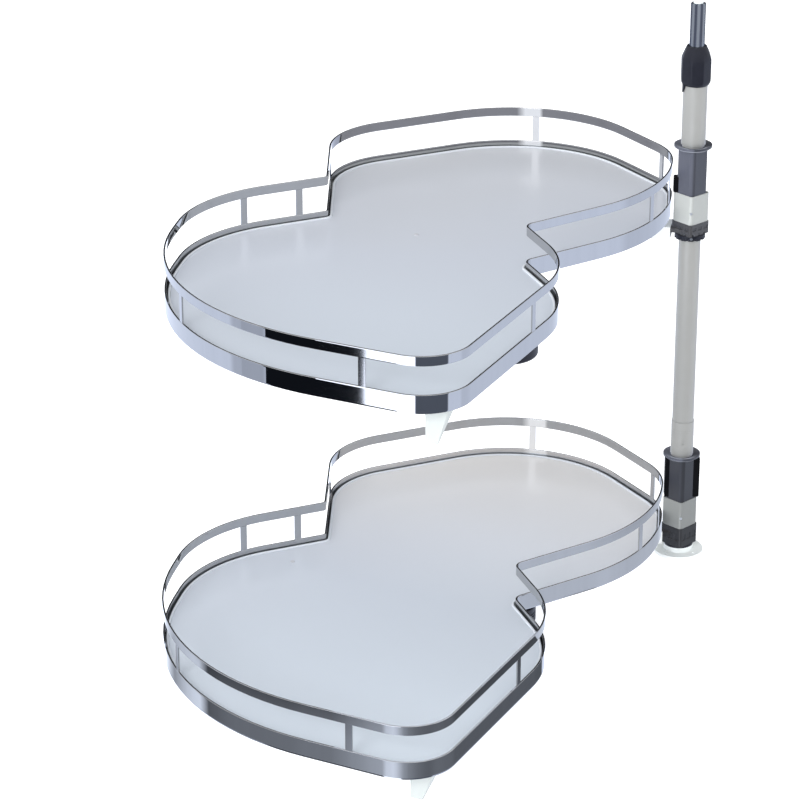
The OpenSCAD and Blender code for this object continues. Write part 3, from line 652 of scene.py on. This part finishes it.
# %% The fluted tube's finish
def fluted_metal(name):
    """Anodised aluminium with painted shade darkening the flutes, and fine drawn lines along the
    tube.
    """
    material, tree, shader = finish(name)
    place = tree.node("TexCoord", output="Object")
    angle = tree.node("Math", {"operation": "ARCTAN2"}, {0: part(place, "Y"), 1: part(place, "X")})
    turns = flutes * angle + math.pi
    painted_flute_shade = 0.5 + 0.5 * tree.node("Math", {"operation": "COSINE"}, {0: turns})
    lines = noise(stretched(place, 0.03), 900.0, 3.0)
    # Painted shade: the tone is darker in the flutes.
    tone = ramp(painted_flute_shade + 0.5 * (lines - 0.5), (0.25, (0.23, 0.25, 0.29)), (0.8, (0.07, 0.08, 0.11)))
    set_shader(tree, shader, {
        "Base Color": tone, "Metallic": 1.0, "Roughness": 0.12 + 0.12 * lines,
        "Normal": bump(lines, 0.1)})
    return material


# %% [markdown]
# Paint and plastic differ in gloss and in what the bump shows: powder coat has an orange-peel
# surface, and a moulding has a fine spark-eroded grain. Both get a slow drift of tone, and a
# finer one where hands and boxes have rubbed.

# %% Paint and plastic
lower_tier_top, tier_edge = 0.1223, 0.0005
front_ridge, ridge_soft = -0.0006, 0.0012


def coated(name, colour, drift, roughness, grain_scale, grain,
           coat=0.0, below=1.0, right=1.0, shine=0.5):
    """An opaque finish: colour drifts by the factor drift, and a fine bump gives the grain. Painted
    shade: the lower tier's pieces, up to 122 mm over the floor, have their colour times below, and
    the half to the right of the post's axis has it times right."""
    material, tree, shader = finish(name)
    place = tree.node("TexCoord", output="Object")
    rubbed = noise(place, 120.0, 6.0)
    low = tuple(c * (1 - drift) for c in colour)
    high = tuple(min(1.0, c * (1 + drift)) for c in colour)
    tone = ramp(0.7 * noise(place, 14.0, 4.0) + 0.3 * rubbed, (0.3, low), (0.7, high))
    # Painted shade: the lower tier's pieces are darker.
    if below < 1:
        painted_low_shade = between(part(place, "Z"), lower_tier_top + tier_edge, lower_tier_top - tier_edge)
        tone = tinted(painted_low_shade, tone, (below, below, below, 1.0))
    # Painted shade: the half to the right of the post's axis is darker.
    if right < 1:
        painted_right_shade = between(part(place, "X"), front_ridge - ridge_soft, front_ridge + ridge_soft)
        tone = tinted(painted_right_shade, tone, (right, right, right, 1.0))
    set_shader(tree, shader, {
        "Base Color": tone, "Roughness": (roughness - 0.06) + 0.12 * rubbed,
        "Normal": bump(noise(place, grain_scale, 3.0), grain),
        "Coat Weight": coat, "Coat Roughness": 0.12, "Specular IOR Level": shine})
    return material


# %% [markdown]
# The board is chipboard under a smooth pale laminate. It looks plain, but it carries a slow drift
# from cool to neutral grey, a barely visible speckle, and a gloss that shows the rails as soft
# streaks. All three are kept faint. The lower board has painted light: it is a little paler towards
# its right back.

# %% The board's laminate
between_tiers = 0.30


def laminate(name):
    """Cool grey in front and neutral at the back, with soft clouds and a fine speckle, and painted
    light that makes the lower board paler towards its right back.
    """
    material, tree, shader = finish(name)
    place = tree.node("TexCoord", output="Object")
    side, across, height = (part(place, axis) for axis in "XYZ")
    speckle = noise(place, 700.0, 2.0)
    clouds = 0.25 * (noise(place, 3.0, 2.0) - 0.5)
    depth = 0.55 + 0.9 * across + clouds + 0.10 * (speckle - 0.5)
    tone = ramp(depth, (0.0, (0.58, 0.635, 0.70)), (0.45, (0.575, 0.605, 0.67)),
                (0.8, (0.58, 0.585, 0.605)))
    # Painted light on the lower board, paler towards its right back.
    painted_light_share = between(across + 0.6 * side, -0.40, 0.0)
    painted_light = blend(painted_light_share, (0.99, 0.99, 0.98, 1.0), (1.28, 1.22, 1.13, 1.0))
    tone = tinted(between(height, between_tiers + 0.01, between_tiers - 0.01), tone, painted_light)
    set_shader(tree, shader, {
        "Base Color": tone, "Roughness": 0.26 + 0.06 * speckle,
        "Normal": bump(noise(place, 260.0, 3.0), 0.05),
        "Coat Weight": 0.25, "Coat Roughness": 0.12})
    return material


# %% [markdown]
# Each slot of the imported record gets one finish. Paints and plastics are rows of a table: the
# colour, its drift, the roughness, the grain's scale and strength, and what else is set.

# %% The finishes by slot
chrome, chrome_dark = (0.46, 0.465, 0.475), (0.44, 0.445, 0.455)
zinc, zinc_dark = (0.62, 0.63, 0.64), (0.50, 0.51, 0.52)
finishes = {
    "chrome_rail": metal("chrome_rail", chrome, chrome_dark, 0.012, 0.016, 0.012, 9.0, 30.0, True),
    "zinc_steel": metal("zinc_steel", zinc, zinc_dark, 0.28, 0.2, 0.15, 60.0, 8.0),
    "extension_aluminium": fluted_metal("extension_aluminium"),
    "board_laminate": laminate("board_laminate"),
}
coats = {
    "white_paint": ((0.84, 0.87, 0.86), 0.02, 0.36, 900.0, 0.12, {}),
    "post_paint": ((0.30, 0.30, 0.29), 0.03, 0.34, 900.0, 0.10, {"coat": 0.2}),
    # below and right here are painted shade: darker lower-tier pieces and darker right halves.
    "bracket_paint": ((0.46, 0.475, 0.46), 0.03, 0.36, 900.0, 0.10,
                      {"coat": 0.15, "below": 0.58, "right": 0.76}),
    "edging_plastic": ((0.66, 0.69, 0.73), 0.03, 0.30, 600.0, 0.06, {}),
    "bush_plastic": ((0.090, 0.096, 0.125), 0.10, 0.36, 1200.0, 0.15,
                     {"below": 0.38, "right": 0.46}),
    "dark_plastic": ((0.010, 0.011, 0.018), 0.25, 0.40, 1400.0, 0.25, {"shine": 0.25}),
    "grey_plastic": ((0.044, 0.043, 0.046), 0.06, 0.42, 1200.0, 0.2, {"below": 0.28}),
    "white_plastic": ((0.52, 0.55, 0.54), 0.04, 0.40, 700.0, 0.10, {}),
    "cap_plastic": ((0.50, 0.50, 0.53), 0.03, 0.40, 600.0, 0.06, {}),
    "arm_paint": ((0.86, 0.88, 0.87), 0.02, 0.36, 900.0, 0.10, {}),
    "lug_plastic": ((0.003, 0.003, 0.004), 0.10, 0.50, 1400.0, 0.10, {"shine": 0.08}),
}
for slot, (colour, drift, roughness, grain_scale, grain, more) in coats.items():
    finishes[slot] = coated(slot, colour, drift, roughness, grain_scale, grain, **more)
print("finishes:", ", ".join(finishes))

# %% [markdown]
# Every piece takes the finish of its slot. The last three rows of the table above go to pieces
# of both tiers whose tone differs from the rest of their slot. What stands at the post is kept
# out of mirror reflections: the trays' right ends would show it as black patches that the
# photograph doesn't have.

# %% Give every piece its finish
slot_of = {s["node"]: s["material_slot"] for s in frame["record"]["subparts"]}
own_finish = {"board_cap": "cap_plastic", "arm_tube": "arm_paint",
              "stop_lug": "lug_plastic", "stop_lugs": "lug_plastic"}
dressed = 0
for thing in bpy.data.objects:
    slot = slot_of.get(thing.name) or thing.get("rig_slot")
    if thing.type == "MESH" and slot:
        slot = own_finish.get(thing.name.partition("_")[2], slot)
        thing.data.materials.clear()
        thing.data.materials.append(finishes[slot])
        dressed += 1
print(dressed, "pieces dressed")
on_arms = ("hub", "bush", "bracket", "stop", "collar", "arm")
at_post = ("thrust_washer", "post_tube_skin", "height_ring_skin", "spacer_sleeve",
           "extension_tube_skin", "extension_guide", "floor_plate")
for thing in bpy.data.objects:
    tier, _, kind = thing.name.partition("_")
    if thing.name in at_post or (tier in tiers and kind.split("_")[0] in on_arms):
        thing.visible_glossy = False

# %% [markdown]
# The floor is plain and pale. It is left out of mirror reflections: chrome shows whatever it
# faces, and a photographer would lay black and white cards there. Those cards are the lower half
# of the surroundings below, given by direction. They suit the upper tray, and the lower one gets
# sheets of its own.

# %% The floor
floor_half, floor_points = 9000.0, 19
steps = np.linspace(-floor_half, floor_half, floor_points)
xx, yy = np.meshgrid(steps, steps, indexing="ij")
places = np.stack([xx, yy, np.zeros_like(xx)], -1).reshape(-1, 3)
floor = new_object("studio_floor", places, open_quads(floor_points, floor_points))
floor_paper = coated("floor_paper", (0.90, 0.90, 0.90), 0.004, 0.75, 300.0, 0.03)
floor_shader = floor_paper.node_tree.nodes["Principled BSDF"]
floor_shader.inputs["Emission Color"].default_value = (1.0, 1.0, 1.0, 1.0)
floor_shader.inputs["Emission Strength"].default_value = 0.55
floor.data.materials.append(floor_paper)
floor.visible_glossy = False
print("floor of", 2 * floor_half * MM, "metres")

# %% [markdown]
# Chrome has no colour of its own: it shows what stands round it. So the surroundings are built as a
# photographer builds them, from cards given by their compass direction: a black one to the front
# left, a white one beside it, a dark one in front, and pale walls elsewhere. Only mirror
# reflections see the cards. All other light comes from a pale room that is brightest low down, so
# that it gets in under the upper tray, and less bright on the right. The camera itself sees white.

# %% The cards round the studio
world = bpy.data.worlds.new("studio")
bpy.context.scene.world = world
world.use_nodes = True
room = Tree(world.node_tree)
direction = room.node("TexCoord", output="Generated")
east, north, up = (part(direction, axis) for axis in "XYZ")
compass = room.node("Math", {"operation": "ARCTAN2"}, {0: north, 1: east}) * (180 / math.pi)


def grey(value, blue=1.5):
    """A grey that leans to blue, as the photograph's does."""
    return (value * (1 - 0.06 * blue), value, value * (1 + 0.14 * blue), 1.0)


def beyond(value, start, soft):
    """0 below start and 1 above it, with a soft edge."""
    return room.node("MapRange", {"interpolation_type": "SMOOTHSTEP"},
                     {"Value": value, "From Min": start - soft, "From Max": start + soft})


def span(start, end, soft):
    """1 from one compass direction to another, with soft edges."""
    return beyond(compass, start, soft) * (1 - beyond(compass, end, soft))


cards = [  # from and to in compass degrees, the edges' softness, the brightness, the blue
    (-190.0, -166.8, 2.00, 0.72, 1.5),
    (-166.8, -142.15, 0.10, 0.012, 3.0),
    (-142.15, -103.0, 0.05, 3.00, 1.0),
    (-103.0, -31.0, 2.00, 0.17, 2.2),
    (-31.0, 3.0, 3.00, 1.16, 1.5),
    (3.0, 75.0, 5.00, 0.99, 1.5),
    (75.0, 94.0, 3.00, 2.10, 1.0),
    (174.0, 190.0, 2.00, 0.84, 1.5),
]
overhead = 0.62  # the sine of the height where the ceiling begins
low = grey(1.18)
for start, end, softness, value, blue in cards:
    low = blend(span(start, end, softness), low, grey(value, blue))
walls_seen = blend(span(48.0, 132.0, 12.0), grey(1.05, 0.3), grey(0.05, 0.3))
high = blend(beyond(up, overhead, 0.08), walls_seen, grey(1.5, 0.1))
mirrored = blend(beyond(up, 0.0, 0.06), low, high)
sides = blend(span(-75.0, 75.0, 25.0), (1.84, 1.87, 1.91, 1.0), (1.10, 1.12, 1.15, 1.0))
daylight = blend(beyond(up, overhead, 0.12), sides, (0.60, 0.61, 0.62, 1.0))
glossy_ray = room.node("LightPath", output="Is Glossy Ray")
camera_ray = room.node("LightPath", output="Is Camera Ray")
plain = blend(camera_ray, daylight, (1.0, 1.0, 1.0, 1.0))
background = world.node_tree.nodes["Background"]
world.node_tree.links.new(blend(glossy_ray, plain, mirrored).socket, background.inputs["Color"])
background.inputs["Strength"].default_value = 1.0
print(len(cards), "cards round the studio")

# %% [markdown]
# The lower tray stands so low that its rails mirror the floor close by and not the cards. On the
# photographer's floor that is a dark sheet along the tray's front, and paler ones beside its right
# side and end. Here they are flat strips that only reflections see. Every point of them lies where
# a look from the camera lands after it has bounced off the rail: twice the rail's outward angle,
# plus 180 degrees, less the look's own direction.

# %% The sheets along the lower tray's rails
camera_place = (-0.3300, -3.4431, 1.6684)
sheet_near, sheet_far, sheet_rows = 60.0, 240.0, 10
fade_from, fade_over = 110, 90
lower_path = on_tier("lower", at_height(tray_path, 0.0)[None])[0, :, :2]
outward = -turned_by(tray_inward, tiers["lower"]["tray"])
facing = np.degrees(np.arctan2(outward[:, 1], outward[:, 0]))
corner = int(np.argmin(lower_path[:, 1]))
look = lower_path - np.array(camera_place[:2]) / MM
incoming = np.degrees(np.arctan2(look[:, 1], look[:, 0]))
paper = bpy.data.materials.new("sheet_paper")
paper.use_nodes = True
paper.node_tree.nodes.clear()
ink = Tree(paper.node_tree)
strength = ink.node("Attribute", {"attribute_name": "tone"}, output="Fac")
glow = ink.node("Emission", {}, {"Color": (0.92, 1.0, 1.16, 1.0), "Strength": strength})
ink.node("OutputMaterial", {}, {"Surface": glow}, output=None)


def sheet(name, way, stretch_of, height, rows):
    """A strip beside the stretch of rail that stretch_of picks from the facings, counted from the
    front corner in the way +1 or -1 along the path. Each row holds a bounce, the strip's
    brightness there, and the factor on it at the strip's far edge."""
    run = (corner + way * np.arange(len(lower_path))) % len(lower_path)
    turn = np.degrees(np.unwrap(np.radians(facing[run])))
    stretch = stretch_of(turn)
    run, turn = run[stretch], turn[stretch]
    bounce = 2 * turn + 180 - incoming[run]
    away = np.stack([np.cos(np.radians(bounce)), np.sin(np.radians(bounce))], -1)
    out = np.linspace(sheet_near, sheet_far, sheet_rows)
    flat = lower_path[run][:, None] + away[:, None] * out[None, :, None]
    bounces, tones, far = np.array(rows).T
    share = np.clip((out - fade_from) / fade_over, 0, 1)[None]
    tone = np.interp(bounce, bounces, tones)[:, None]
    tone = tone * (1 - share + share * np.interp(bounce, bounces, far)[:, None])
    strip = new_object(name, at_height(flat.reshape(-1, 2), height), open_quads(len(run), len(out)))
    strip.data.attributes.new("tone", "FLOAT", "POINT").data.foreach_set("value", tone.ravel())
    strip.data.materials.append(paper)
    for ray in ("camera", "diffuse", "transmission", "volume_scatter", "shadow"):
        setattr(strip, "visible_" + ray, False)
    print(name, "covers bounces from", bounce.min().round(1), "to", bounce.max().round(1))


def beside_the_end(turn):
    """After the notch, from where the rail faces the front right to where it faces right."""
    start = int(np.argmax(np.diff(turn) < -1))
    start += int(np.argmax(turn[start:] < -55))
    return slice(start, start + int(np.argmax(turn[start:] > -4)))


def until(reached):
    """From the front corner to the first point of the path where reached is true."""
    return slice(0, int(np.argmax(reached)))


sheet("sheet_left", -1, lambda turn: until(turn < -176), 1.0, [
    (-262, 2.50, 1), (-257, 2.30, 1), (-245, 1.15, 0.8), (-233, 0.46, 1.6), (-221, 0.92, 1),
    (-209, 1.35, 0.8), (-201, 1.35, 0.5), (-200, 0.18, 0.4), (-185, 0.29, 0.35),
    (-172, 0.30, 0.35), (-147, 0.32, 0.35), (-145, 0.37, 0.4), (-144.2, 0.70, 0.7),
    (-142, 1.25, 0.8), (-118, 1.40, 0.9), (-100, 0.72, 0.8), (-94, 0.50, 0.75)])
sheet("sheet_right", 1, lambda turn: until(turn > -15), 1.0, [
    (-118, 1.40, 0.9), (-100, 0.72, 0.8), (-94, 0.50, 0.75), (-70, 0.31, 0.75), (-45, 0.22, 1),
    (-21, 0.29, 0.75), (27, 0.24, 0.7), (37, 0.19, 0.5), (60, 0.13, 0.7), (83, 0.16, 1)])
sheet("sheet_end", 1, beside_the_end, 1.5, [
    (-24, 0.90, 1.3), (-20, 0.95, 1), (-9, 1.00, 0.85), (14, 0.90, 0.85), (38, 0.86, 0.8),
    (62, 0.70, 1.1), (84, 1.05, 0.75)])

# %% [markdown]
# Two soft lamps light all that isn't chrome. A broad one overhead gives the tops of things their
# brightness. A second one stands to the left of the camera, because the lower tray lies in the
# upper one's shade and the photograph shows it as bright. Mirrors don't see either lamp.

# %% The soft lamps
lamps = [  # name, place, the point it faces, size in metres, watts
    ("overhead_lamp", (-1.1, -1.3, 3.2), (-0.3, -0.1, 0.3), 2.6, 16.0),
    ("front_lamp", (-1.9, -3.5, 2.1), (-0.3, -0.1, 0.2), 1.6, 62.0),
]
for name, place, aim, size, watts in lamps:
    lamp_data = bpy.data.lights.new(name, "AREA")
    lamp_data.size = size
    lamp_data.energy = watts
    lamp_data.color = (0.97, 0.985, 1.0)
    lamp = bpy.data.objects.new(name, lamp_data)
    bpy.context.scene.collection.objects.link(lamp)
    lamp.location = place
    lamp.rotation_euler = (Vector(aim) - Vector(place)).to_track_quat("-Z", "Y").to_euler()
    lamp.visible_glossy = False
print(len(lamps), "lamps")

# %% [markdown]
# The camera looks down on the trays from the front by 23 degrees. Its place and lens were worked
# out from the rails' curves in the photograph, together with the trays' outline.

# %% The camera
looks_down = 23.19
camera_data = bpy.data.cameras.new("camera")
camera_data.lens = 144.86
camera_data.sensor_width = 36.0
camera_data.clip_end = 60.0
camera = bpy.data.objects.new("camera", camera_data)
bpy.context.scene.collection.objects.link(camera)
camera.location = camera_place
camera.rotation_euler = (math.radians(90 - looks_down), 0, 0)
bpy.context.scene.camera = camera
bpy.context.scene.view_settings.view_transform = "Standard"
